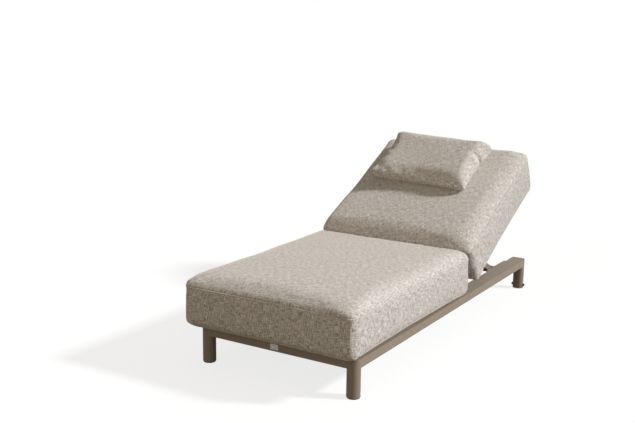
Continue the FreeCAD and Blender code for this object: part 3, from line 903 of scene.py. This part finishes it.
class LOUNGER_OT_studio(bpy.types.Operator):
    """Set up floor, light and camera"""
    bl_idname = "lounger.studio"
    bl_label = "Studio"

    def execute(self, context):
        studio = context.scene.lounger_studio
        self.floor(studio)
        self.light(context, studio)
        self.camera(context, studio)
        return {"FINISHED"}

    def seen(self, tree):
        """1 for rays that show the background: camera, glossy and transmission."""
        rays = tree.nodes.new("ShaderNodeLightPath")
        both = maths(tree, "MAXIMUM", rays.outputs["Is Camera Ray"], rays.outputs["Is Glossy Ray"])
        return maths(tree, "MAXIMUM", both, rays.outputs["Is Transmission Ray"])

    def floor(self, studio):
        half = 40.0
        plan = ((-half, -half, 0), (half, -half, 0), (half, half, 0), (-half, half, 0))
        floor = mesh_object("studio_floor", plan, [(0, 1, 2, 3)])
        material, tree, shader = new_material("Studio floor")
        shader.inputs["Base Color"].default_value = (0.15, 0.132, 0.105, 1.0)
        shader.inputs["Roughness"].default_value = 1.0
        shader.inputs["Specular IOR Level"].default_value = 0.0
        plain = tree.nodes.new("ShaderNodeBsdfDiffuse")
        plain.inputs["Color"].default_value = (0.24, 0.24, 0.24, 1.0)
        glow = tree.nodes.new("ShaderNodeEmission")
        glow.inputs["Color"].default_value = (*WHITE, 1.0)
        glow.inputs["Strength"].default_value = 0.79
        shown = tree.nodes.new("ShaderNodeAddShader")
        tree.links.new(plain.outputs[0], shown.inputs[0])
        tree.links.new(glow.outputs[0], shown.inputs[1])
        choice = tree.nodes.new("ShaderNodeMixShader")
        tree.links.new(self.seen(tree), choice.inputs[0])
        tree.links.new(shader.outputs[0], choice.inputs[1])
        tree.links.new(shown.outputs[0], choice.inputs[2])
        output = next(n for n in tree.nodes if n.type == "OUTPUT_MATERIAL")
        tree.links.new(choice.outputs[0], output.inputs[0])
        floor.data.materials.append(material)

    def light(self, context, studio):
        self.lamp(context, "Key light", studio.key_strength, studio.key_spread,
                  studio.key_direction, WHITE)
        self.lamp(context, "Front light", studio.front_strength, FRONT_SPREAD,
                  FRONT_LIGHT, studio.fill_colour)
        self.lamp(context, "Top light", studio.top_strength, TOP_SPREAD, TOP_LIGHT, WHITE)
        world = bpy.data.worlds.new("Studio")
        world.use_nodes = True
        tree = world.node_tree
        tree.nodes.clear()
        fill = tree.nodes.new("ShaderNodeBackground")
        fill.inputs["Color"].default_value = (*studio.fill_colour, 1.0)
        fill.inputs["Strength"].default_value = studio.fill_strength
        white = tree.nodes.new("ShaderNodeBackground")
        white.inputs["Color"].default_value = (*WHITE, 1.0)
        white.inputs["Strength"].default_value = 1.0
        choice = tree.nodes.new("ShaderNodeMixShader")
        tree.links.new(self.seen(tree), choice.inputs[0])
        tree.links.new(fill.outputs[0], choice.inputs[1])
        tree.links.new(white.outputs[0], choice.inputs[2])
        output = tree.nodes.new("ShaderNodeOutputWorld")
        tree.links.new(choice.outputs[0], output.inputs[0])
        context.scene.world = world
        context.scene.view_settings.view_transform = "Standard"

    def lamp(self, context, name, strength, spread, direction, colour):
        lamp = bpy.data.lights.new(name, "SUN")
        lamp.energy = strength
        lamp.angle = spread
        lamp.color = colour
        holder = bpy.data.objects.new(name, lamp)
        holder.rotation_mode = "QUATERNION"
        holder.rotation_quaternion = Vector(direction).to_track_quat("Z", "Y")
        holder.location = Vector(direction) * 4.0
        context.scene.collection.objects.link(holder)

    def camera(self, context, studio):
        lens = bpy.data.cameras.new("Camera")
        lens.lens = studio.lens
        lens.sensor_width = 36.0
        lens.clip_end = 200.0
        camera = bpy.data.objects.new("Camera", lens)
        turn = (Matrix.Rotation(studio.camera_azimuth, 4, "Z")
                @ Matrix.Rotation(math.pi / 2 - studio.camera_elevation, 4, "X")
                @ Matrix.Rotation(studio.camera_roll, 4, "Z"))
        camera.matrix_world = Matrix.Translation(Vector(studio.camera_place)) @ turn
        context.scene.collection.objects.link(camera)
        context.scene.camera = camera


class LOUNGER_PT_panel(bpy.types.Panel):
    """Lists the lounger's pieces"""
    bl_idname = "LOUNGER_PT_panel"
    bl_label = "Relaxation lounger"
    bl_space_type = "VIEW_3D"
    bl_region_type = "UI"
    bl_category = "Lounger"

    def draw(self, context):
        for operator in OPERATORS:
            self.layout.operator(operator.bl_idname)
        for name in SETTINGS:
            box = self.layout.box()
            group = getattr(context.scene, name)
            for item in group.bl_rna.properties:
                if item.identifier not in ("rna_type", "name"):
                    box.prop(group, item.identifier)


OPERATORS = (
    LOUNGER_OT_seat_cushion,
    LOUNGER_OT_back_cushion,
    LOUNGER_OT_head_pillow,
    LOUNGER_OT_hard_finishes,
    LOUNGER_OT_studio,
)
SETTINGS = {
    "lounger_cushions": LoungerCushions,
    "lounger_fabric": LoungerFabric,
    "lounger_finishes": LoungerFinishes,
    "lounger_studio": LoungerStudio,
}


def register():
    for kind in (*SETTINGS.values(), *OPERATORS, LOUNGER_PT_panel):
        bpy.utils.register_class(kind)
    for name, kind in SETTINGS.items():
        setattr(bpy.types.Scene, name, PointerProperty(type=kind))


def unregister():
    for name in SETTINGS:
        delattr(bpy.types.Scene, name)
    for kind in reversed((*SETTINGS.values(), *OPERATORS, LOUNGER_PT_panel)):
        bpy.utils.unregister_class(kind)


def main():
    register()
    for operator in OPERATORS:
        group, name = operator.bl_idname.split(".")
        getattr(getattr(bpy.ops, group), name)()


if __name__ == "__main__":
    main()
